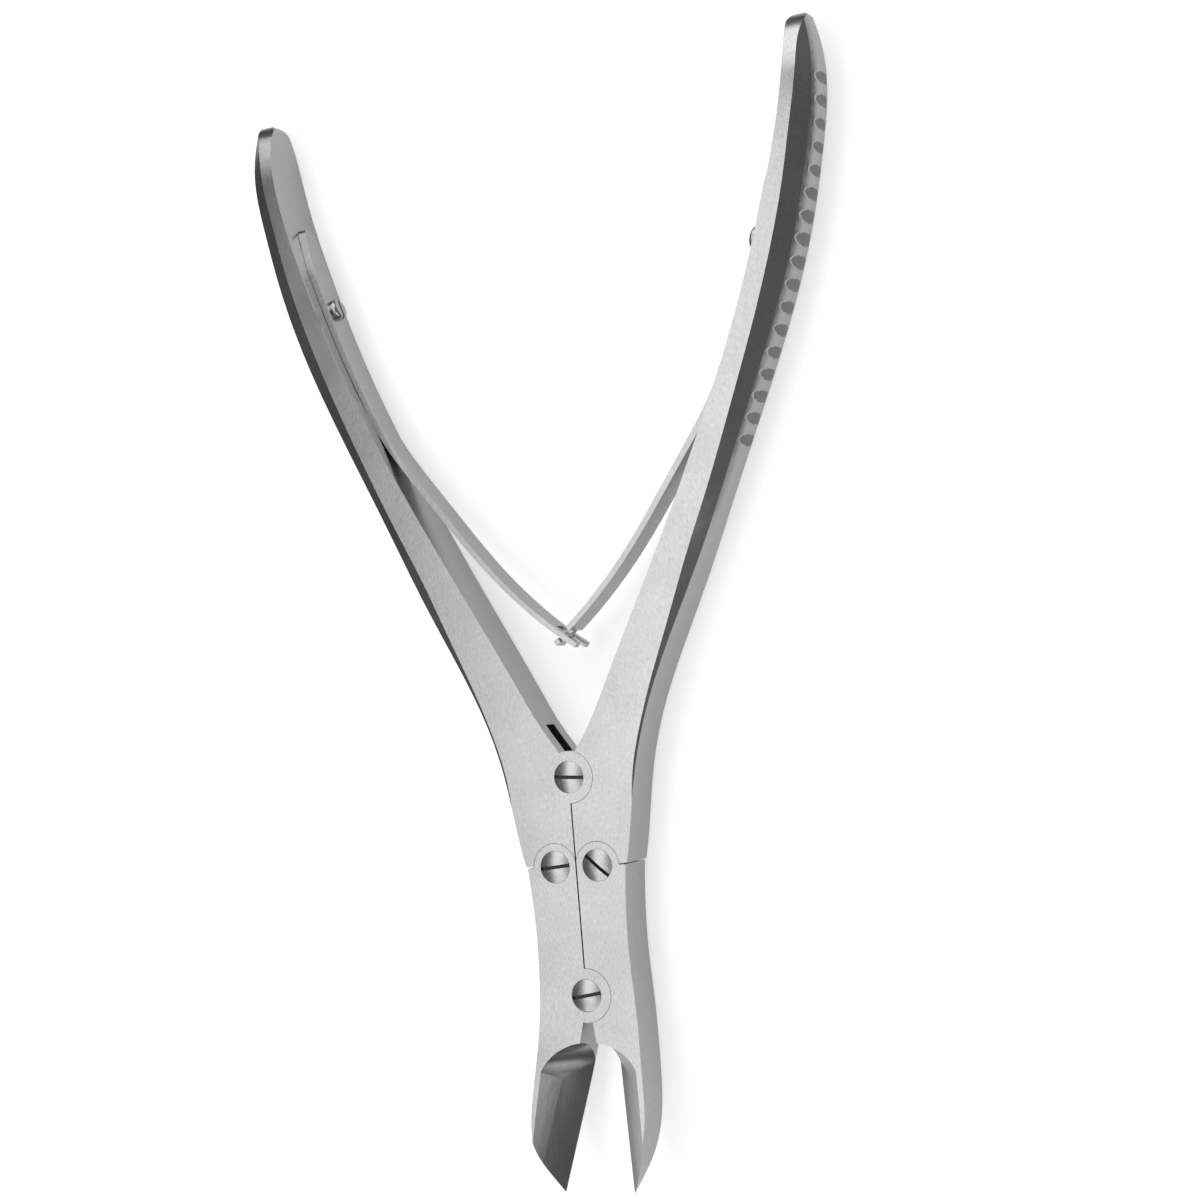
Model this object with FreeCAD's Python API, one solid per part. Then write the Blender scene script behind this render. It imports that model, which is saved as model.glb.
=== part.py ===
import FreeCAD, Part
import math
import os

# Double-action bone cutting forceps, in millimetres, lying on its back.
# At the joint the back faces lie on z = 0 and the front faces on z = body_depth; the grips are
# deeper, and swell evenly to the back and the front.
# +Y runs from the handle pivot towards the handle ends, -Y towards the cutting tips.
# The origin is on the axis of the handle pivot, on the back face.
# The model stands at rest, fully open: the seams between the halves are closed and act as stops.

V = FreeCAD.Vector
Z_AXIS = V(0, 0, 1)

# Body and layers of the box joints
body_depth = 8.0
ear_thickness = 2.5
layer_clearance = 0.1
seam_gap = 0.24
shoulder_gap = 0.25
ear_clearance = 0.08

# Pivot layout
pivot_span = 36.7
link_offset = 3.95
link_drop = 15.0
handle_ear_radius = 4.4
jaw_ear_radius = 4.5
link_ear_radius = 3.95
# Round end of the milled slot, which opens on the inner face of the forked handle
handle_slot_end = (2.6, 5.2)
handle_slot_radius = 4.4

# Pivot screws
screw_head_radius = 2.7
screw_head_seat = 1.2
screw_head_dome = 0.35
screw_shank_radius = 1.6
screw_slot_width = 0.6
screw_slot_depth = 0.8
handle_screw_angle = -4.0
jaw_screw_angle = 8.5
left_link_screw_angle = 4.5
right_link_screw_angle = -42.5
head_seat_clearance = 0.05
shank_fit = 0.02
shank_running_clearance = 0.06

# Handle blank: stations along the handle, from the links to the end
# (y, half depth, edge of the front flat, edge between bevel and side, half depth of the side, its bulge)
handle_stations = [
    (-16.0, 4.00, 8.85, 9.10, 3.93, 0.10),
    (0.0, 4.00, 11.80, 12.15, 3.90, 0.10),
    (15.0, 4.10, 16.45, 17.10, 3.85, 0.10),
    (30.0, 4.30, 22.70, 24.55, 3.70, 0.20),
    (45.0, 4.70, 29.40, 31.60, 3.35, 0.80),
    (58.0, 5.20, 35.00, 37.45, 3.60, 0.90),
    (75.0, 5.45, 41.75, 44.75, 3.75, 0.95),
    (92.0, 5.50, 47.15, 50.11, 3.80, 1.00),
    (106.0, 5.30, 50.25, 53.02, 3.65, 0.95),
    (113.0, 4.80, 51.35, 53.47, 3.40, 0.85),
    (118.0, 3.70, 51.80, 52.90, 2.80, 0.70),
    (122.0, 3.00, 51.20, 52.00, 2.60, 0.40),
]
swell_start_y = 6.0
bevel_overrun = 0.6
handle_nose_y = 113.0
handle_nose_points = [(116.5, 4.05), (119.4, 2.55)]
# Inner edge of the handle, from the centre seam to the start of the rounded end
handle_inner_line = [
    (1.55, 4.3), (3.45, 7.05), (8.0, 15.0), (20.4, 38.0), (30.6, 58.0), (38.2, 75.0), (44.1, 92.0),
    (47.9, 106.0),
]
crotch_y = 0.8
handle_tip_centre = (51.4, 118.9)
handle_tip_radius = 2.1
handle_tip_start_angle = 160.0

# Grip grooves on the convex side of each handle, spaced along the side
groove_count = 17
groove_pitch = 3.74
groove_last_y = 109.8
groove_depth = 0.36
groove_radius = 2.3
groove_bottom_radius = 16.0

# Jaws
jaw_reach = 32.6
jaw_open_angle = 11.0
jaw_closing_gap = 0.08
jaw_outer_line = [(9.12, -15.3), (8.7, -20.5), (8.45, -28.0), (8.95, -39.0), (10.0, -50.5),
                  (10.45, -57.5), (9.5, -63.0), (8.19, -66.0)]
front_bend_start = -35.5
front_bend_radius = 47.0
front_bend_angle = 12.5
back_bend_start = -34.0
back_bend_radius = 60.0
back_bend_angle = 19.0
hollow_start = -44.5
hollow_slope = 51.5
hollow_sagitta = 0.35
hollow_width = 11.0
hollow_lead = 4.0
hollow_end_radius = 6.0
cutting_land = 0.25

# Spring leaves
leaf_width = 5.2
leaf_root_thickness = 1.35
leaf_tip_thickness = 0.9
leaf_root_y = 101.2
leaf_root_length = 9.0
leaf_leave_y = 62.0
leaf_seat_gap = 0.06
leaf_seat_steps = 6
# Free stretch of the leaf's outer surface, from the far side of the crossing up to the handle
leaf_free_line = [(-3.4, 21.0), (0.0, 23.4), (8.4, 30.7), (15.3, 38.3), (21.2, 46.0), (26.9, 53.6)]
fork_reach = 2.9
fork_slot_width = 2.2
fork_slot_length = 5.4
neck_width = 1.7
neck_length = 2.9
hook_width = 3.0
hook_length = 1.0
hook_reach = 1.9

# Spring screws
spring_screw_y = 85.4
spring_screw_head_radius = 1.9
spring_screw_head_height = 1.15
spring_screw_shank_radius = 0.9
spring_screw_depth = 4.0
spring_screw_fit = 0.02
spring_screw_clearance = 0.05
spring_screw_slot_angle = 0.0
spring_screw_slot_width = 0.45
spring_screw_slot_depth = 0.5
spring_screw_rounding = 0.55
spring_screw_spotface = 0.05

middle_z = body_depth / 2
tongue_bottom = ear_thickness + layer_clearance
tongue_top = body_depth - tongue_bottom
slot_bottom = ear_thickness
slot_top = body_depth - ear_thickness
half_seam = seam_gap / 2
stock_top = 2 * body_depth
stock_bottom = -body_depth
handle_pivot = V(0, 0, 0)
jaw_pivot = V(0, -pivot_span, 0)
right_link = V(link_offset, -link_drop, 0)
left_link = V(-link_offset, -link_drop, 0)
shoulder_y = -link_drop + 0.2
FAR = 90.0


def mirrored(shape):
    return shape.mirror(V(0, 0, 0), V(1, 0, 0))


def disc(centre, radius, z_low, z_high):
    return Part.makeCylinder(radius, z_high - z_low, V(centre.x, centre.y, z_low))


def block(x_low, x_high, y_low, y_high, z_low, z_high):
    return Part.makeBox(x_high - x_low, y_high - y_low, z_high - z_low, V(x_low, y_low, z_low))


def spline(points):
    curve = Part.BSplineCurve()
    curve.interpolate(points)
    return curve


def spline_edge(points):
    return spline(points).toShape()


def plan_prism(edges, z_low=0.0, z_high=body_depth):
    face = Part.Face(Part.Wire(Part.__sortEdges__(edges)))
    face.translate(V(0, 0, z_low))
    return face.extrude(V(0, 0, z_high - z_low))


def line(a, b):
    return Part.LineSegment(a, b).toShape()


# Handle blank: a loft holds the bevels and the convex side, a plan outline trims it to the
# inner edge and the rounded end, and a side outline trims it to the flats and the nose.

def handle_section(y, half_depth, flat_edge, side_edge, side_half_depth, bulge):
    """Section of the loft, whose bevels run on past the edges of the flats."""
    slope = (half_depth - side_half_depth) / (side_edge - flat_edge)
    top = half_depth + bevel_overrun
    top_edge = flat_edge - bevel_overrun / slope
    inside = -6.0
    high = [V(inside, y, middle_z + top), V(top_edge, y, middle_z + top),
            V(side_edge, y, middle_z + side_half_depth)]
    low = [V(p.x, y, body_depth - p.z) for p in high]
    crown = V(side_edge + bulge, y, middle_z)
    edges = [line(low[0], low[1]), line(low[1], low[2]), Part.Arc(low[2], crown, high[2]).toShape(),
             line(high[2], high[1]), line(high[1], high[0]), line(high[0], low[0])]
    return Part.Wire(edges)


def handle_envelope():
    return Part.makeLoft([handle_section(*station) for station in handle_stations], True, False)


def handle_inner_curve():
    """Inner edge of the handle in plan, from the centre seam up to the rounded end."""
    centre = V(handle_tip_centre[0], handle_tip_centre[1], 0)
    angle = math.radians(handle_tip_start_angle)
    tip_start = centre + V(math.cos(angle), math.sin(angle), 0) * handle_tip_radius
    return spline([V(half_seam, crotch_y, 0)] + [V(x, y, 0) for x, y in handle_inner_line] + [tip_start])


def handle_plan():
    inner = handle_inner_curve()
    centre = V(handle_tip_centre[0], handle_tip_centre[1], 0)
    tip_top = centre + V(0, handle_tip_radius, 0)
    tip_end = centre + V(handle_tip_radius, 0, 0)
    corner_out = V(FAR, centre.y, 0)
    corner_low = V(FAR, handle_stations[0][0], 0)
    seam_low = V(half_seam, handle_stations[0][0], 0)
    return [inner.toShape(), Part.Arc(inner.EndPoint, tip_top, tip_end).toShape(),
            line(tip_end, corner_out), line(corner_out, corner_low), line(corner_low, seam_low),
            line(seam_low, inner.StartPoint)]


def side_prism(upper_edges, start):
    """Prism right across the part whose side outline is symmetrical about middle_z."""
    lower_edges = [e.mirror(V(0, 0, middle_z), Z_AXIS) for e in upper_edges]
    closing = line(start, V(0, start.y, body_depth - start.z))
    face = Part.Face(Part.Wire(Part.__sortEdges__(upper_edges + lower_edges + [closing])))
    face.translate(V(-FAR, 0, 0))
    return face.extrude(V(2 * FAR, 0, 0))


def handle_side_profile():
    """Depth of the handle: even at the joint, swelling to the grip, with a round nose."""
    start = V(0, -FAR, body_depth)
    swell_start = V(0, swell_start_y, body_depth)
    swell = [V(0, row[0], middle_z + row[1]) for row in handle_stations
             if swell_start_y < row[0] <= handle_nose_y]
    nose = [V(0, y, middle_z + half_depth) for y, half_depth in handle_nose_points]
    tip = V(0, handle_tip_centre[1] + handle_tip_radius, middle_z)
    curve = Part.BSplineCurve()
    curve.interpolate([swell_start] + swell + nose + [tip], InitialTangent=V(0, 1, 0),
                      FinalTangent=-Z_AXIS)
    return side_prism([line(start, swell_start), curve.toShape()], start)


def handle_blank():
    blank = handle_envelope().common(plan_prism(handle_plan(), stock_bottom, stock_top))
    return blank.common(handle_side_profile())


# Rounded grooves across the convex side; each fades out towards the bevels.

def groove_frames():
    """Point on the crown of the side and outward direction there, for each groove."""
    crown_line = spline([V(row[3] + row[5], row[0], middle_z) for row in handle_stations])
    frames = []
    y = groove_last_y
    for _ in range(groove_count):
        crown, outward = at_height(crown_line, y)
        frames.append((crown, outward))
        y -= groove_pitch * outward.x
    return frames


def groove_cutter(crown, outward):
    along = V(-outward.y, outward.x, 0)
    centre = crown - outward * (groove_depth + groove_bottom_radius)
    return Part.makeTorus(groove_bottom_radius + groove_radius, groove_radius, centre, along)


def grooved(handle):
    return handle.cut([groove_cutter(crown, outward) for crown, outward in groove_frames()])


# Box joints: a pair of ears in the two outer layers takes a tongue in the middle layer.

def outer_layers(centre, radius, depth):
    back = disc(centre, radius, 0, depth)
    front = disc(centre, radius, body_depth - depth, stock_top)
    return back.fuse(front)


def with_ears(blank, centre, radius, side=None):
    ears = outer_layers(centre, radius, ear_thickness)
    if side:
        ears = ears.common(side)
    return blank.fuse(ears).cut(disc(centre, radius + ear_clearance, slot_bottom, slot_top))


def with_tongue(blank, centre, radius, side=None):
    tongue = disc(centre, radius, tongue_bottom, tongue_top)
    if side:
        tongue = tongue.common(side)
    return blank.cut(outer_layers(centre, radius + ear_clearance, tongue_bottom)).fuse(tongue)


def seated_hole(part, centre):
    """Close hole for the screw shank, with the seat for its head in the front ear."""
    seat = disc(centre, screw_head_radius + head_seat_clearance, body_depth - screw_head_seat, stock_top)
    return part.cut([seat, disc(centre, screw_shank_radius + shank_fit, -1, stock_top)])


def running_hole(part, centre):
    return part.cut(disc(centre, screw_shank_radius + shank_running_clearance, -1, stock_top))


def right_half():
    return block(half_seam, FAR, -FAR, FAR, 0, stock_top)


def handle_with_link_tongue():
    blank = grooved(handle_blank())
    blank = blank.cut(block(-FAR, FAR, -FAR, shoulder_y, -1, stock_top))
    blank = with_tongue(blank, right_link, link_ear_radius, right_half())
    blank = running_hole(blank, right_link)
    return blank.cut(spring_screw_hole())


def handle_right():
    return running_hole(with_tongue(handle_with_link_tongue(), handle_pivot, handle_ear_radius),
                        handle_pivot)


def handle_left():
    forked = with_ears(mirrored(handle_with_link_tongue()), handle_pivot, handle_ear_radius)
    slot_end = V(-handle_slot_end[0], handle_slot_end[1], 0)
    forked = forked.cut(disc(slot_end, handle_slot_radius, slot_bottom, slot_top))
    return seated_hole(forked, handle_pivot).common(handle_side_profile())


# Jaws: a plan outline with a radial inner face, bent forwards beyond the jaw pivot.

def jaw_inner_x(y):
    return jaw_closing_gap / 2 + (-pivot_span - y) * math.tan(math.radians(jaw_open_angle))


def jaw_plan():
    outer = [V(x, y, 0) for x, y in jaw_outer_line]
    top_y = shoulder_y - shoulder_gap
    outer_top = V(outer[0].x, top_y, 0)
    inner_top = V(half_seam, top_y, 0)
    knee = V(half_seam, -pivot_span, 0)
    inner_start = V(jaw_inner_x(-pivot_span - 1), -pivot_span - 1, 0)
    tip_y = -pivot_span - jaw_reach
    tip = V(jaw_inner_x(tip_y), tip_y, 0)
    return [line(inner_top, outer_top), line(outer_top, outer[0]), spline_edge(outer + [tip]),
            line(tip, inner_start), line(inner_start, knee), line(knee, inner_top)]


def bend(start_y, start_z, radius, angle):
    """Arc leaving a flat face forwards, with its end point and its direction there."""
    turn = math.radians(angle)

    def on_arc(a):
        return V(0, start_y - radius * math.sin(a), start_z + radius * (1 - math.cos(a)))

    arc = Part.Arc(on_arc(0), on_arc(turn / 2), on_arc(turn)).toShape()
    return arc, on_arc(turn), V(0, -math.cos(turn), math.sin(turn))


def front_bend():
    return bend(front_bend_start, body_depth, front_bend_radius, front_bend_angle)


def back_bend():
    return bend(back_bend_start, 0, back_bend_radius, back_bend_angle)


def jaw_side_profile():
    front, front_end, front_run = front_bend()
    back, back_end, back_run = back_bend()
    beyond_y = -pivot_span - jaw_reach - 2
    front_tip = front_end + front_run * ((beyond_y - front_end.y) / front_run.y)
    back_tip = back_end + back_run * ((beyond_y - back_end.y) / back_run.y)
    front_root = V(0, 0, body_depth)
    back_root = V(0, 0, 0)
    edges = [line(back_root, V(0, back_bend_start, 0)), back, line(back_end, back_tip),
             line(back_tip, front_tip), line(front_tip, front_end), front,
             line(V(0, front_bend_start, body_depth), front_root), line(front_root, back_root)]
    face = Part.Face(Part.Wire(Part.__sortEdges__(edges)))
    face.translate(V(-FAR, 0, 0))
    return face.extrude(V(2 * FAR, 0, 0))


def hollow_cutter():
    """Hollow ground into the front of the right jaw, running down to its cutting edge."""
    _, back_end, back_run = back_bend()
    rise = -back_run.z / back_run.y
    run = V(math.tan(math.radians(jaw_open_angle)), -1, rise)
    length = pivot_span + jaw_reach + hollow_start + 4
    edge_z = back_end.z + (back_end.y - hollow_start) * rise + cutting_land
    edge = V(jaw_inner_x(hollow_start), hollow_start, edge_z)
    slope = math.radians(hollow_slope)
    along = V(math.cos(slope), 0, math.sin(slope))
    into = V(math.sin(slope), 0, -math.cos(slope))
    radius = hollow_width ** 2 / (8 * hollow_sagitta) + hollow_sagitta / 2
    centre = edge + along * (hollow_width / 2) - into * (radius - hollow_sagitta)

    def on_arc(distance):
        a = math.asin(distance / radius)
        return centre + into * (radius * math.cos(a)) + along * (radius * math.sin(a))

    before = on_arc(-hollow_width / 2 - hollow_lead)
    rim = on_arc(hollow_width / 2)
    top_rim = V(rim.x, rim.y, 3 * body_depth)
    top_before = V(before.x, rim.y, 3 * body_depth)
    edges = [Part.Arc(before, on_arc(0), rim).toShape(), line(rim, top_rim),
             line(top_rim, top_before), line(top_before, before)]
    hollow = Part.Face(Part.Wire(edges)).extrude(run * length)
    return hollow.common(hollow_start_profile(edge + into * hollow_sagitta, along, into, run * length))


def hollow_start_profile(floor_start, along, into, run):
    """Slab across the hollow that rounds the corner between its end wall and its floor."""
    floor_end = floor_start + run
    top = -into * (3 * body_depth)
    corners = [floor_start, floor_end, floor_end + top, floor_start + top]
    face = Part.Face(Part.makePolygon(corners + corners[:1]))
    face.translate(-along * FAR)
    slab = face.extrude(along * (2 * FAR))
    corner = [e for e in slab.Edges if abs((e.CenterOfMass - floor_start).cross(along).Length) < 0.01]
    return slab.makeFillet(hollow_end_radius, corner)


def right_jaw_blank():
    blank = plan_prism(jaw_plan(), 0, stock_top)
    blank = with_ears(blank, right_link, link_ear_radius, right_half())
    return seated_hole(blank, right_link).cut(hollow_cutter())


def jaw_right():
    tongued = with_tongue(right_jaw_blank(), jaw_pivot, jaw_ear_radius)
    return running_hole(tongued, jaw_pivot).common(jaw_side_profile())


def jaw_left():
    forked = with_ears(mirrored(right_jaw_blank()), jaw_pivot, jaw_ear_radius)
    return seated_hole(forked, jaw_pivot).common(jaw_side_profile())


# Pivot screws: slotted, with a low domed head sunk in the front ear and a flush shank end.

def pivot_screw(centre, slot_angle):
    seat_z = body_depth - screw_head_seat
    top = V(0, 0, body_depth + screw_head_dome)
    dome_radius = (screw_head_radius ** 2 + screw_head_dome ** 2) / (2 * screw_head_dome)
    half_x = screw_head_radius / 2
    half_z = top.z - dome_radius + math.sqrt(dome_radius ** 2 - half_x ** 2)
    points = [V(0, 0, 0), V(screw_shank_radius, 0, 0), V(screw_shank_radius, 0, seat_z),
              V(screw_head_radius, 0, seat_z), V(screw_head_radius, 0, body_depth)]
    edges = [line(a, b) for a, b in zip(points, points[1:])]
    edges.append(Part.Arc(points[-1], V(half_x, 0, half_z), top).toShape())
    edges.append(line(top, points[0]))
    screw = Part.Face(Part.Wire(edges)).revolve(V(0, 0, 0), Z_AXIS, 360)
    slot = block(-screw_head_radius, screw_head_radius, -screw_slot_width / 2, screw_slot_width / 2,
                 top.z - screw_slot_depth, top.z + 1)
    slot.rotate(V(0, 0, 0), Z_AXIS, slot_angle)
    screw = screw.cut(slot)
    screw.translate(centre)
    return screw


# Leaf springs, drawn on the right. The outer surface of a leaf lies on the inner face of its
# handle down to leaf_leave_y, then bends inwards and crosses the other leaf.

def at_height(curve, y):
    """Point of a rising plan curve at height y, and the normal there, to the right."""
    low = curve.FirstParameter
    high = curve.LastParameter
    while high - low > 1e-9:
        middle = (low + high) / 2
        if curve.value(middle).y < y:
            low = middle
        else:
            high = middle
    along = curve.tangent(low)[0]
    return curve.value(low), V(along.y, -along.x, 0)


def leaf_seat_heights():
    step = (leaf_root_y - leaf_leave_y) / leaf_seat_steps
    return [leaf_leave_y + step * i for i in range(leaf_seat_steps + 1)]


def leaf_outer_curve():
    inner_edge = handle_inner_curve()
    seated = []
    for y in leaf_seat_heights():
        point, outward = at_height(inner_edge, y)
        seated.append(point - outward * leaf_seat_gap)
    return spline([V(x, y, 0) for x, y in leaf_free_line] + seated)


def leaf_thickness(y):
    tip_y = leaf_free_line[0][1]
    share = (y - tip_y) / (leaf_root_y - tip_y)
    return leaf_tip_thickness + share * (leaf_root_thickness - leaf_tip_thickness)


def leaf_strip():
    curve = leaf_outer_curve()
    heights = [y for _, y in leaf_free_line] + leaf_seat_heights()
    inner_side = []
    for y in heights:
        point, outward = at_height(curve, y)
        inner_side.append(point - outward * leaf_thickness(y))
    edges = [curve.toShape(), line(curve.EndPoint, inner_side[-1]), spline_edge(inner_side),
             line(inner_side[0], curve.StartPoint)]
    return plan_prism(edges, middle_z - leaf_width / 2, middle_z + leaf_width / 2)


def leaf_side_profile():
    """Width of the leaf: even, with a long arched root."""
    start = V(0, 0, middle_z + leaf_width / 2)
    arch_start = V(0, leaf_root_y - leaf_root_length, start.z)
    apex = V(0, leaf_root_y, middle_z)
    half_way = math.radians(45)
    on_arch = V(0, arch_start.y + leaf_root_length * math.sin(half_way),
                middle_z + leaf_width / 2 * math.cos(half_way))
    arch = Part.BSplineCurve()
    arch.interpolate([arch_start, on_arch, apex], InitialTangent=V(0, 1, 0), FinalTangent=-Z_AXIS)
    return side_prism([line(start, arch_start), arch.toShape()], start)


def tip_block(start, end, width):
    """Block along the tip of the right leaf, from start to end beyond the crossing, centred in z."""
    curve = leaf_outer_curve()
    crossing, outward = at_height(curve, leaf_free_line[1][1])
    shape = block(start, end, -3, 3, middle_z - width / 2, middle_z + width / 2)
    shape.rotate(V(0, 0, 0), Z_AXIS, math.degrees(math.atan2(-outward.x, outward.y)))
    shape.translate(crossing)
    return shape


def spring_screw_frame():
    """Foot of the spring screw on the handle's inner face, and its direction into the handle."""
    foot, inwards = at_height(handle_inner_curve(), spring_screw_y)
    return foot + V(0, 0, middle_z), inwards


def spring_screw_hole():
    foot, inwards = spring_screw_frame()
    start = foot - inwards * 2
    return Part.makeCylinder(spring_screw_shank_radius + spring_screw_fit, spring_screw_depth + 2.1, start,
                             inwards)


def spring_screw_seat():
    """Distance from the handle's inner face to the seat of the screw head on the leaf."""
    return leaf_seat_gap + leaf_thickness(spring_screw_y) - spring_screw_spotface


def leaf_with_screw_hole():
    foot, inwards = spring_screw_frame()
    face = foot - inwards * spring_screw_seat()
    hole = Part.makeCylinder(spring_screw_shank_radius + spring_screw_clearance, 2 * leaf_root_thickness,
                             face, inwards)
    spotface = Part.makeCylinder(spring_screw_head_radius + spring_screw_clearance, 1, face, -inwards)
    return leaf_strip().common(leaf_side_profile()).cut([hole, spotface])


def left_spring_leaf():
    """Leaf that ends in an open fork."""
    beyond = tip_block(fork_reach, 3 * fork_reach, 2 * leaf_width)
    slot = tip_block(fork_reach - fork_slot_length, 2 * fork_reach, fork_slot_width)
    return mirrored(leaf_with_screw_hole().cut([beyond, slot]))


def right_spring_leaf():
    """Leaf that ends in a narrow neck with a hook head."""
    beyond = tip_block(hook_reach, 4 * hook_reach, 2 * leaf_width)
    neck_zone = tip_block(hook_reach - hook_length - neck_length, hook_reach - hook_length, 2 * leaf_width)
    neck = tip_block(hook_reach - hook_length - neck_length, hook_reach - hook_length, neck_width)
    head_zone = tip_block(hook_reach - hook_length, hook_reach, 2 * leaf_width)
    head = tip_block(hook_reach - hook_length, hook_reach, hook_width)
    return leaf_with_screw_hole().cut([beyond, neck_zone.cut(neck), head_zone.cut(head)])


def right_spring_screw():
    foot, inwards = spring_screw_frame()
    seat = foot - inwards * spring_screw_seat()
    length = spring_screw_depth + spring_screw_seat()
    shank = Part.makeCylinder(spring_screw_shank_radius, length, seat, inwards)
    head = Part.makeCylinder(spring_screw_head_radius, spring_screw_head_height, seat, -inwards)
    top = seat - inwards * spring_screw_head_height
    rim = [e for e in head.Edges
           if e.Curve.TypeId == "Part::GeomCircle" and (e.CenterOfMass - top).Length < 0.01]
    head = head.makeFillet(spring_screw_rounding, rim)
    slot = block(-spring_screw_slot_depth, 1, -spring_screw_head_radius, spring_screw_head_radius,
                 -spring_screw_slot_width / 2, spring_screw_slot_width / 2)
    slot.rotate(V(0, 0, 0), V(1, 0, 0), spring_screw_slot_angle)
    slot.rotate(V(0, 0, 0), Z_AXIS, math.degrees(math.atan2(-inwards.y, -inwards.x)))
    slot.translate(top)
    return shank.fuse(head).cut(slot)


def export(name, shape):
    solid = shape.removeSplitter().Solids[0]
    solid.exportStep(os.path.join("parts", name + ".step"))


os.makedirs("parts", exist_ok=True)
export("handle_left", handle_left())
export("handle_right", handle_right())
export("jaw_left", jaw_left())
export("jaw_right", jaw_right())
export("handle_pivot_screw", pivot_screw(handle_pivot, handle_screw_angle))
export("jaw_pivot_screw", pivot_screw(jaw_pivot, jaw_screw_angle))
export("left_link_screw", pivot_screw(left_link, left_link_screw_angle))
export("right_link_screw", pivot_screw(right_link, right_link_screw_angle))
export("left_spring_leaf", left_spring_leaf())
export("right_spring_leaf", right_spring_leaf())
export("left_spring_screw", mirrored(right_spring_screw()))
export("right_spring_screw", right_spring_screw())
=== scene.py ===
# %% [markdown]
# # Bone cutting forceps
# A double-action instrument: two handles, two jaws and four screws form a linkage that
# doubles the force of the hand. The solid model arrives ready made, with its real sizes and
# its joints. This lesson gives it camera, light and metal, and remakes the two springs as
# strips cut into short slices.

# %% Load the solid model
import math

import bpy
import numpy as np
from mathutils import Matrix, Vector


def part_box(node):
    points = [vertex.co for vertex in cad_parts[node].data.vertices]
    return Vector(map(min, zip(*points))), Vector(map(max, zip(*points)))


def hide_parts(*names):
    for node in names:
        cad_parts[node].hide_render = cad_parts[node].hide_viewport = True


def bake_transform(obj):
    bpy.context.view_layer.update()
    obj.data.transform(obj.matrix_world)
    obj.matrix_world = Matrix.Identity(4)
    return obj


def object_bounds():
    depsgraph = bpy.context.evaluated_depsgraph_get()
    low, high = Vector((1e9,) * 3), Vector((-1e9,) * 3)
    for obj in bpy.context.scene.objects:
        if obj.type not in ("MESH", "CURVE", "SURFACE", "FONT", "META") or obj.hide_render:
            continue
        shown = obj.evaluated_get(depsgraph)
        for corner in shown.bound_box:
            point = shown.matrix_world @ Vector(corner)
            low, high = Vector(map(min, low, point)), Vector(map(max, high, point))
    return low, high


MM = 0.001
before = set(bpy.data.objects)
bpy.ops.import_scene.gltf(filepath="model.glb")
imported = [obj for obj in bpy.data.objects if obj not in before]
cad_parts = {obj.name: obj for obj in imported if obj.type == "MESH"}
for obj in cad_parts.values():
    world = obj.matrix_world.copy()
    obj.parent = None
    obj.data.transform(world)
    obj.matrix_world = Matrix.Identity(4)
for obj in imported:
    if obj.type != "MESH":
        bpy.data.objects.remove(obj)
bpy.ops.object.select_all(action="DESELECT")
solid_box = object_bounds()
print("solid box in mm:", [[round(v / MM, 2) for v in corner] for corner in solid_box])

# %% [markdown]
# ## Camera
# The instrument lies on its back, and the camera looks down on it from a little to the
# right. From there the front faces are seen almost square, and the inner face of the left
# handle and the outer face of the right handle show as narrow strips. A lens of about 68 mm
# keeps the perspective as mild as a product photographer would.

# %% Place the camera
bpy.ops.object.camera_add(
    location=(169.27 * MM, 13.76 * MM, 350.27 * MM),
    rotation=(math.radians(0.113), math.radians(25.26), math.radians(-5.217)),
)
camera = bpy.context.object
camera.name = "camera"
camera.data.lens = 67.82
camera.data.sensor_width = 36.0
camera.data.clip_start = 0.01
bpy.context.scene.camera = camera
print("camera distance in mm:", round(camera.location.length / MM))

# %% [markdown]
# ## Floor
# The instrument rests on white paper. The plane is much wider than the picture, and it lies a
# hair below the backs of the grips.

# %% Lay the floor
floor_size = 6.0
floor_gap = 0.05 * MM
bpy.ops.mesh.primitive_plane_add(size=floor_size, location=(0, 0, solid_box[0][2] - floor_gap))
floor = bpy.context.object
floor.name = "floor"
print("floor at z in mm:", round(floor.location.z / MM, 2))

# %% [markdown]
# ## Paper
# The camera sees the paper evenly white. The steel sides and the leaf springs mirror the
# paper beside them, in their own shadow, and come out light grey. A bevel mirrors it at a
# grazing angle, where the real paper ended and the room was dark. So mirrored rays see a
# greyer paper, and the flatter they meet it, the darker it is.

# %% Paint the floor as paper
white_tone = 0.92
steep_mirror_tone = 0.58
flat_mirror_tone = 0.05
floor_paint = bpy.data.materials.new("floor_paint")
floor_paint.use_nodes = True
paper = floor_paint.node_tree
paper_shader = paper.nodes["Principled BSDF"]
paper_shader.inputs["Roughness"].default_value = 0.9
paper_shader.inputs["Specular IOR Level"].default_value = 0.1
paper_shader.inputs["Emission Strength"].default_value = 0.55
ray = paper.nodes.new("ShaderNodeLightPath")
slant = paper.nodes.new("ShaderNodeLayerWeight")
slant.inputs["Blend"].default_value = 0.5
mirror_tone = paper.nodes.new("ShaderNodeMapRange")
mirror_tone.interpolation_type = "SMOOTHSTEP"
mirror_tone.inputs["From Min"].default_value = 0.40
mirror_tone.inputs["From Max"].default_value = 0.80
mirror_tone.inputs["To Min"].default_value = steep_mirror_tone
mirror_tone.inputs["To Max"].default_value = flat_mirror_tone
tone = paper.nodes.new("ShaderNodeMix")
tone.data_type = "RGBA"
tone.inputs["A"].default_value = (white_tone, white_tone, white_tone, 1.0)
paper.links.new(slant.outputs["Facing"], mirror_tone.inputs["Value"])
paper.links.new(ray.outputs["Is Glossy Ray"], tone.inputs["Factor"])
paper.links.new(mirror_tone.outputs["Result"], tone.inputs["B"])
paper.links.new(tone.outputs["Result"], paper_shader.inputs["Base Color"])
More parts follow.
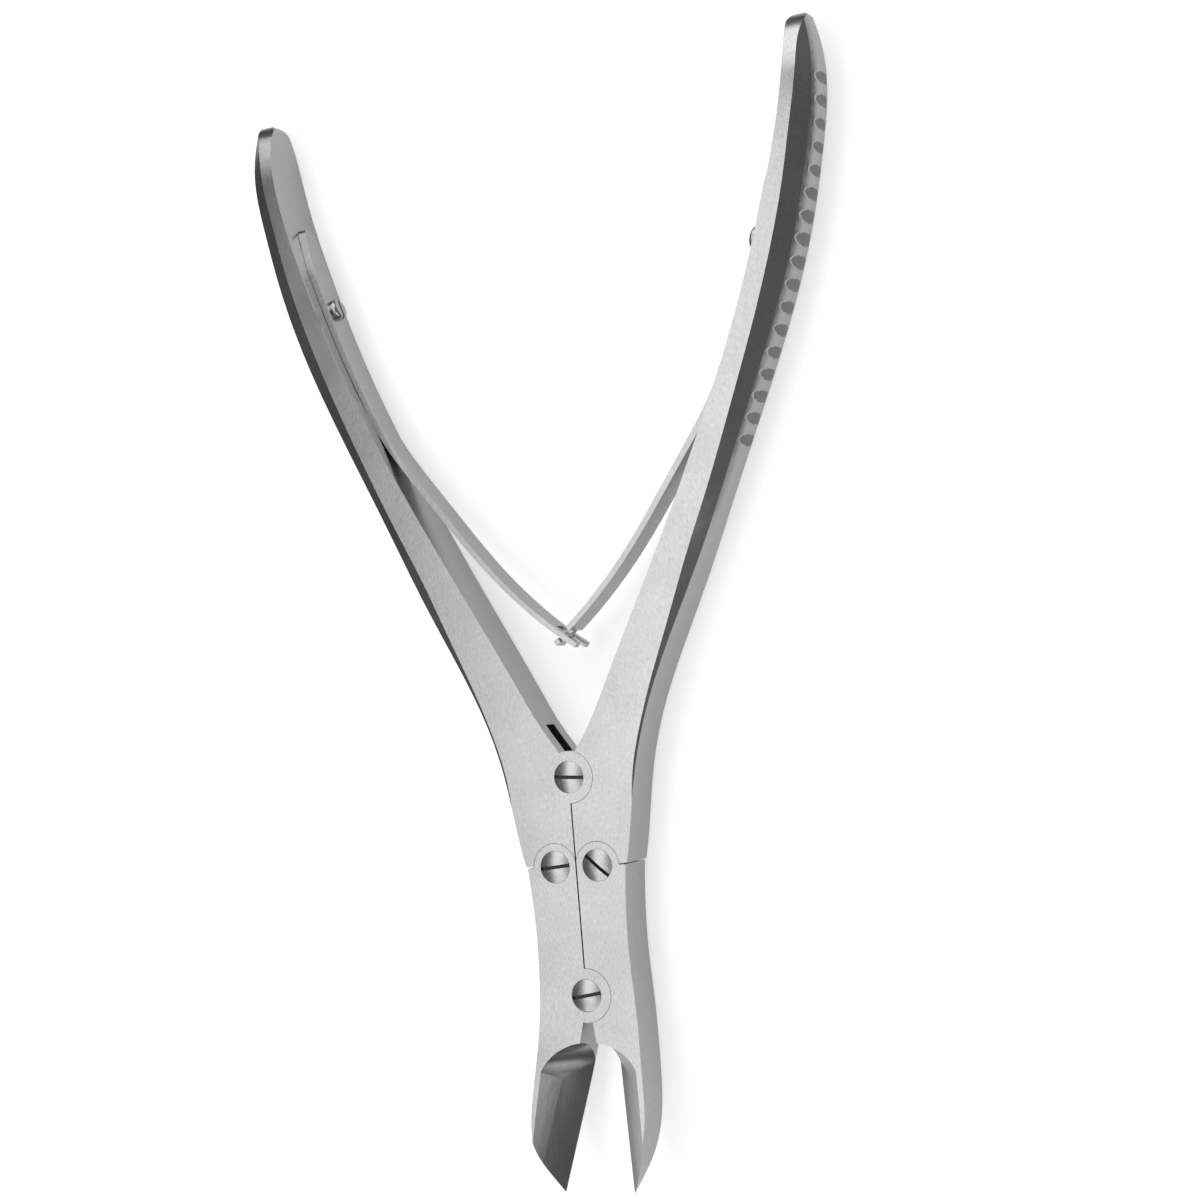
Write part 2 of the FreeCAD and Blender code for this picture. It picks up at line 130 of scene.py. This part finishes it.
paper.links.new(tone.outputs["Result"], paper_shader.inputs["Emission Color"])
floor.data.materials.append(floor_paint)
print("paper tones:", white_tone, steep_mirror_tone, flat_mirror_tone)

# %% [markdown]
# ## Light
# Satin metal shows what is around it more than its own colour. One large soft box hangs where
# the front faces mirror it, so they come out bright. Its far left end stops short of the spot
# that the upper part of the left handle mirrors, which stays dark as in the photograph. A low
# card on the right brightens the grooved side of the right handle, and two broad weak boxes in
# front and behind light the paper and the ends.


# %% Hang the soft boxes
def soft_box(name, place, aim, size_x, size_y, power):
    """Hang a lamp at a place, turned to its aim. Lengths are in metres, power is in watts."""
    bpy.ops.object.light_add(type="AREA", location=place)
    lamp = bpy.context.object
    lamp.name = name
    lamp.data.shape = "RECTANGLE"
    lamp.data.size = size_x
    lamp.data.size_y = size_y
    lamp.data.energy = power
    direction = Vector(aim) - Vector(place)
    lamp.rotation_euler = direction.to_track_quat("-Z", "Y").to_euler()
    lamp.visible_camera = False
    print(name, "radiance:", round(power / (math.pi * size_x * size_y), 2))


soft_box("key_light", (-0.18, 0.015, 0.52), (-0.18, 0.015, 0.0), 0.27, 0.57, 0.66)
soft_box("side_card", (0.45, 0.08, 0.055), (0.0, 0.08, 0.0), 0.60, 0.10, 0.09)
soft_box("far_light", (0.0, 1.15, 0.85), (0.0, 0.05, 0.0), 1.8, 1.2, 10.0)
soft_box("near_light", (0.0, -1.15, 0.85), (0.0, 0.0, 0.0), 1.8, 1.2, 10.0)

# %% [markdown]
# ## Room
# Behind the lights the room is dark grey, which keeps the bevels dark. The plain view
# transform shows the tones as they are, as the photograph does.

# %% Darken the room
room_tone = 0.12
room = bpy.data.worlds.new("room")
bpy.context.scene.world = room
room.use_nodes = True
backdrop = room.node_tree.nodes["Background"]
backdrop.inputs["Color"].default_value = (room_tone, room_tone, room_tone, 1.0)
backdrop.inputs["Strength"].default_value = 1.0
bpy.context.scene.view_settings.view_transform = "Standard"
print("room tone:", room_tone)

# %% [markdown]
# ## Grain
# All the pieces are stainless steel, but they are finished in different ways: the handles
# and jaws are satin, the springs are rolled strip, and the screw heads are turned on a lathe.
# One group of nodes makes a fine grain and slow cloudy changes, and each metal uses it with
# its own values. Where one coordinate is multiplied by a fifth, the noise is five times longer
# that way, which draws its grains out into lines.

# %% Make a node group for the grain
grain_scale = 6000.0
grain_detail = 2.0
grain_squeeze = 0.2
cloud_scale = 90.0
cloud_detail = 4.0


def noise(nodes, scale, detail):
    texture = nodes.new("ShaderNodeTexNoise")
    texture.inputs["Scale"].default_value = scale
    texture.inputs["Detail"].default_value = detail
    return texture


def make_grain_group():
    group = bpy.data.node_groups.new("steel_grain", "ShaderNodeTree")
    sockets = group.interface
    sockets.new_socket(name="Turn", in_out="INPUT", socket_type="NodeSocketFloat")
    sockets.new_socket(name="Lines", in_out="OUTPUT", socket_type="NodeSocketFloat")
    sockets.new_socket(name="Clouds", in_out="OUTPUT", socket_type="NodeSocketFloat")
    nodes = group.nodes
    links = group.links
    inlet = nodes.new("NodeGroupInput")
    outlet = nodes.new("NodeGroupOutput")
    place = nodes.new("ShaderNodeTexCoord")
    turn = nodes.new("ShaderNodeVectorRotate")
    turn.rotation_type = "Z_AXIS"
    links.new(place.outputs["Object"], turn.inputs["Vector"])
    links.new(inlet.outputs["Turn"], turn.inputs["Angle"])
    stretched = nodes.new("ShaderNodeVectorMath")
    stretched.operation = "MULTIPLY"
    stretched.inputs[1].default_value = (1.0, grain_squeeze, 1.0)
    links.new(turn.outputs["Vector"], stretched.inputs[0])
    lines = noise(nodes, grain_scale, grain_detail)
    links.new(stretched.outputs["Vector"], lines.inputs["Vector"])
    clouds = noise(nodes, cloud_scale, cloud_detail)
    links.new(place.outputs["Object"], clouds.inputs["Vector"])
    links.new(lines.outputs["Fac"], outlet.inputs["Lines"])
    links.new(clouds.outputs["Fac"], outlet.inputs["Clouds"])
    return group


steel_grain = make_grain_group()
print("grain group nodes:", len(steel_grain.nodes))

# %% [markdown]
# ## Parts of a metal
# A metal in Blender has a tint, a roughness and a surface that may be tipped here and there.
# Four helpers make these parts from a pattern, so that the satin steels and the turned screw
# heads can share them. A noise pattern hardly ever leaves the range from 0.3 to 0.7, so that
# range is what the helper maps unless it is told another one.

# %% Define helpers for a metal
bump_height = 0.01 * MM
noise_low = 0.3
noise_high = 0.7


def mapped(tree, source, low, high, from_low=noise_low, from_high=noise_high):
    """Map the range from_low to from_high onto the range low to high."""
    node = tree.nodes.new("ShaderNodeMapRange")
    node.inputs["From Min"].default_value = from_low
    node.inputs["From Max"].default_value = from_high
    node.inputs["To Min"].default_value = low
    node.inputs["To Max"].default_value = high
    tree.links.new(source, node.inputs["Value"])
    return node.outputs["Result"]


def grey_tint(tree, factor, dark, light):
    """Mix a dark and a light steel grey, both a trace bluer than neutral."""
    tint = tree.nodes.new("ShaderNodeMix")
    tint.data_type = "RGBA"
    tint.inputs["A"].default_value = (dark, dark, dark * 1.01, 1.0)
    tint.inputs["B"].default_value = (light, light, light * 1.01, 1.0)
    tree.links.new(factor, tint.inputs["Factor"])
    return tint.outputs["Result"]


def bare_metal(name):
    steel = bpy.data.materials.new(name)
    steel.use_nodes = True
    tree = steel.node_tree
    shader = tree.nodes["Principled BSDF"]
    shader.inputs["Metallic"].default_value = 1.0
    return steel, tree, shader


def tip_surface(tree, shader, height, strength):
    """Let a height pattern tip the surface of the metal."""
    bump = tree.nodes.new("ShaderNodeBump")
    bump.inputs["Strength"].default_value = strength
    bump.inputs["Distance"].default_value = bump_height
    tree.links.new(height, bump.inputs["Height"])
    tree.links.new(bump.outputs["Normal"], shader.inputs["Normal"])


print("bump height in mm:", round(bump_height / MM, 3))

# %% [markdown]
# ## Satin steel
# Satin steel comes from a fine abrasive belt: the grain is faint, a fraction of a millimetre
# wide and several times longer than wide, and it runs across the handles at a slant. The
# grain changes the tone and tips the surface a little, and the clouds change the roughness.


# %% Mix the steels
def make_steel(name, dark, light, rough_low, rough_high, turn, bump):
    """Mix a steel from two tones, two roughnesses, the turn of the grain in degrees and a bump."""
    steel, tree, shader = bare_metal(name)
    grain = tree.nodes.new("ShaderNodeGroup")
    grain.node_tree = steel_grain
    grain.inputs["Turn"].default_value = math.radians(turn)
    lines = grain.outputs["Lines"]
    tint = grey_tint(tree, mapped(tree, lines, 0.0, 1.0), dark, light)
    rough = mapped(tree, grain.outputs["Clouds"], rough_low, rough_high)
    tree.links.new(tint, shader.inputs["Base Color"])
    tree.links.new(rough, shader.inputs["Roughness"])
    tip_surface(tree, shader, lines, bump)
    print(name, "nodes:", len(tree.nodes))
    return steel


left_handle_steel = make_steel("left_handle_steel", 0.47, 0.57, 0.20, 0.27, 22.0, 0.2)
right_handle_steel = make_steel("right_handle_steel", 0.47, 0.57, 0.20, 0.27, -22.0, 0.2)
jaw_steel = make_steel("jaw_steel", 0.47, 0.57, 0.20, 0.27, 0.0, 0.2)
spring_steel = make_steel("spring_steel", 0.46, 0.56, 0.22, 0.30, 35.0, 0.15)
spring_screw_steel = make_steel("spring_screw_steel", 0.48, 0.56, 0.28, 0.34, 0.0, 0.05)
# The dark tones of the groove steel are painted shade for the groove bottoms; its higher roughness
# is their real matt finish.
groove_shade_steel = make_steel("groove_shade_steel", 0.20, 0.28, 0.34, 0.42, 0.0, 0.2)

# %% [markdown]
# ## Metal on the pieces
# The belt ran at the same slant to each handle, so the two grains are mirror images. The jaws
# were ground straight, and the small screws of the springs are a little duller.


# %% Put the steels on
def paint(node, steel):
    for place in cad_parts[node].material_slots:
        place.material = steel


paint("handle_left", left_handle_steel)
paint("handle_right", right_handle_steel)
for jaw in ("jaw_left", "jaw_right"):
    paint(jaw, jaw_steel)
for small_screw in ("left_spring_screw", "right_spring_screw"):
    paint(small_screw, spring_screw_steel)
print("painted: two handles, two jaws, two spring screws")

# %% [markdown]
# ## Grip side
# The convex side of each handle is slightly domed, and its upper stretch has the grip grooves.
# They are cut in the solid model, so all that is needed here is to find their faces. Two
# helpers do the first half of it: one says if a face belongs to that stretch, and one says how
# high a point lies once the doming is taken out.

# %% Find the grip side
middle_z = 4.0 * MM
section_radius = 7.7 * MM
groove_reach = 3.3 * MM
groove_low_y = 46.0 * MM
groove_high_y = 113.0 * MM
least_outward = 0.6


def crown_height(point):
    """Distance of a point from the middle plane, with the doming of the side taken out."""
    return abs(point.x) + (point.z - middle_z) ** 2 / (2 * section_radius)


def on_grip_side(face):
    """True for a face of the convex side in the stretch that has grooves."""
    outward = face.normal.x if face.center.x > 0 else -face.normal.x
    in_stretch = groove_low_y < face.center.y < groove_high_y
    return in_stretch and abs(face.center.z - middle_z) < groove_reach and outward > least_outward


print("grip stretch in mm:", round(groove_low_y / MM), "to", round(groove_high_y / MM))

# %% [markdown]
# ## Grip grooves
# The grooves were cut across the side with a rounded tool. Their bottoms keep a matt surface,
# because the satin belt passes over them; their darker tone is painted shade. A groove is found
# by its depth: a smooth curve is laid along the crown of the side, points that lie below it are
# dropped until only the lands between the grooves carry it, and the faces that are left well
# below the curve take the matt steel with its painted shade.

# %% Give the groove bottoms a matt steel with painted shade
crown_slack = 0.02 * MM
crown_rounds = 8
crown_degree = 6
least_depth = 0.11 * MM


def fit_crown(points):
    """Fit the crown of the side over y, through the lands between the grooves alone."""
    heights = np.array([crown_height(point) for point in points])
    places = np.array([point.y for point in points])
    for _ in range(crown_rounds):
        crown = np.polynomial.Polynomial.fit(places, heights, crown_degree)
        on_crown = heights > crown(places) - crown_slack
        places = places[on_crown]
        heights = heights[on_crown]
    return crown


def paint_shade_in_grooves(node):
    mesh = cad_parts[node].data
    side_faces = [face for face in mesh.polygons if on_grip_side(face)]
    crown = fit_crown([mesh.vertices[index].co for face in side_faces for index in face.vertices])
    # The groove bottoms take the steel with painted shade.
    mesh.materials.append(groove_shade_steel)
    groove_faces = [face for face in side_faces
                    if crown(face.center.y) - crown_height(face.center) > least_depth]
    for face in groove_faces:
        face.material_index = len(mesh.materials) - 1
    print(node, "groove faces:", len(groove_faces), "of", len(side_faces))


paint_shade_in_grooves("handle_left")
paint_shade_in_grooves("handle_right")

# %% [markdown]
# ## Rings and slot
# The heads of the pivot screws were faced on a lathe, and the tool leaves fine rings. A wave
# texture makes rings too, and the scale that gives them the right pitch follows from its wave
# length at scale 1. The slot was milled afterwards and never polished, and its bottom gets a
# near-black painted shade. That bottom is found by its distance from the middle of the joint:
# only the ends of a screw lie farther out.

# %% Define the two patterns of a screw head
wave_length = 0.314
ring_pitch = 0.22 * MM
slot_floor = 3.55 * MM
slot_top = 3.80 * MM


def ring_pattern(tree, place, centre):
    """Fine rings around the axis of a screw."""
    centred = tree.nodes.new("ShaderNodeMapping")
    centred.inputs["Location"].default_value = (-centre.x, -centre.y, 0.0)
    rings = tree.nodes.new("ShaderNodeTexWave")
    rings.wave_type = "RINGS"
    rings.rings_direction = "Z"
    rings.inputs["Scale"].default_value = wave_length / ring_pitch
    rings.inputs["Distortion"].default_value = 0.6
    rings.inputs["Detail"].default_value = 1.0
    tree.links.new(place, centred.inputs["Vector"])
    tree.links.new(centred.outputs["Vector"], rings.inputs["Vector"])
    return rings.outputs["Fac"]


def outside_slot(tree, place):
    """0 in the bottom of the slot, where shade is painted, 1 on the ends of the screw."""
    split = tree.nodes.new("ShaderNodeSeparateXYZ")
    from_middle = tree.nodes.new("ShaderNodeMath")
    from_middle.operation = "SUBTRACT"
    from_middle.inputs[1].default_value = middle_z
    distance = tree.nodes.new("ShaderNodeMath")
    distance.operation = "ABSOLUTE"
    tree.links.new(place, split.inputs["Vector"])
    tree.links.new(split.outputs["Z"], from_middle.inputs[0])
    tree.links.new(from_middle.outputs["Value"], distance.inputs[0])
    return mapped(tree, distance.outputs["Value"], 0.0, 1.0, slot_floor, slot_top)


print("ring scale:", round(wave_length / ring_pitch))

# %% [markdown]
# ## Turned screw heads
# The light box shows in the rings of a head as two bright fans with dark ones between. So the
# rings, centred on each screw, tip the surface a little and change its roughness, and the
# bottom of the slot is painted dark as shade.

# %% Turn the heads of the pivot screws
# The near-black tone of the slot bottom is painted shade.
slot_shade_tone = 0.04
head_tone = 0.52


def turned_steel(name, centre):
    steel, tree, shader = bare_metal(name)
    place = tree.nodes.new("ShaderNodeTexCoord").outputs["Object"]
    rings = ring_pattern(tree, place, centre)
    tint = grey_tint(tree, outside_slot(tree, place), slot_shade_tone, head_tone)
    tree.links.new(tint, shader.inputs["Base Color"])
    tree.links.new(mapped(tree, rings, 0.20, 0.26), shader.inputs["Roughness"])
    tip_surface(tree, shader, rings, 0.5)
    return steel


for screw in ("handle_pivot_screw", "jaw_pivot_screw", "left_link_screw", "right_link_screw"):
    low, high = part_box(screw)
    middle = (low + high) / 2
    paint(screw, turned_steel(screw + "_steel", middle))
    print(screw, "centre in mm:", round(middle.x / MM, 2), round(middle.y / MM, 2))

# %% [markdown]
# ## Sliced strip
# Each spring is a leaf of steel strip, screwed flat to its handle along the upper half. The
# lower half stands free and bends when the hand closes. A solid spring has long faces, which
# can only turn stiffly. So two helpers join the corners of a copy, clear the needless edges
# on its flat faces, and cut it into short slices along its length.

# %% Define how to copy and slice a spring
merge_distance = 0.001 * MM
flat_angle = math.radians(0.3)
slice_start_y = 34.0 * MM
slice_length = 3.0 * MM
slice_count = 16


def merged_copy(node):
    """A copy of a solid piece with joined corners, selected and active."""
    bpy.ops.object.select_all(action="DESELECT")
    piece = bpy.data.objects.new(node + "_strip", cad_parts[node].data.copy())
    bpy.context.collection.objects.link(piece)
    bpy.context.view_layer.objects.active = piece
    piece.select_set(True)
    bpy.ops.object.mode_set(mode="EDIT")
    bpy.ops.mesh.select_all(action="SELECT")
    bpy.ops.mesh.remove_doubles(threshold=merge_distance)
    bpy.ops.mesh.dissolve_limited(angle_limit=flat_angle)
    bpy.ops.object.mode_set(mode="OBJECT")
    return piece


def slice_across():
    """Cut the active piece across its length, into slices that can bend."""
    bpy.ops.object.mode_set(mode="EDIT")
    for step in range(slice_count):
        height = slice_start_y + slice_length * step
        bpy.ops.mesh.select_all(action="SELECT")
        bpy.ops.mesh.bisect(plane_co=(0, height, 0), plane_no=(0, 1, 0))
    bpy.ops.object.mode_set(mode="OBJECT")


print("slices from y in mm:", round(slice_start_y / MM), "every", round(slice_length / MM))

# %% [markdown]
# ## Sliced springs
# The sliced copy takes the place of the solid spring, which is hidden. The face normals that came
# with the solid no longer fit the copy, so they are cleared and the gentle curves are smoothed
# again.

# %% Slice the springs
smooth_angle = math.radians(15)


def bending_leaf(node):
    piece = merged_copy(node)
    slice_across()
    bpy.ops.mesh.customdata_custom_splitnormals_clear()
    bpy.ops.object.shade_smooth_by_angle(angle=smooth_angle)
    piece.data.materials.clear()
    piece.data.materials.append(spring_steel)
    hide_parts(node)
    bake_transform(piece)
    print(piece.name, "faces:", len(piece.data.polygons))


bending_leaf("left_spring_leaf")
bending_leaf("right_spring_leaf")
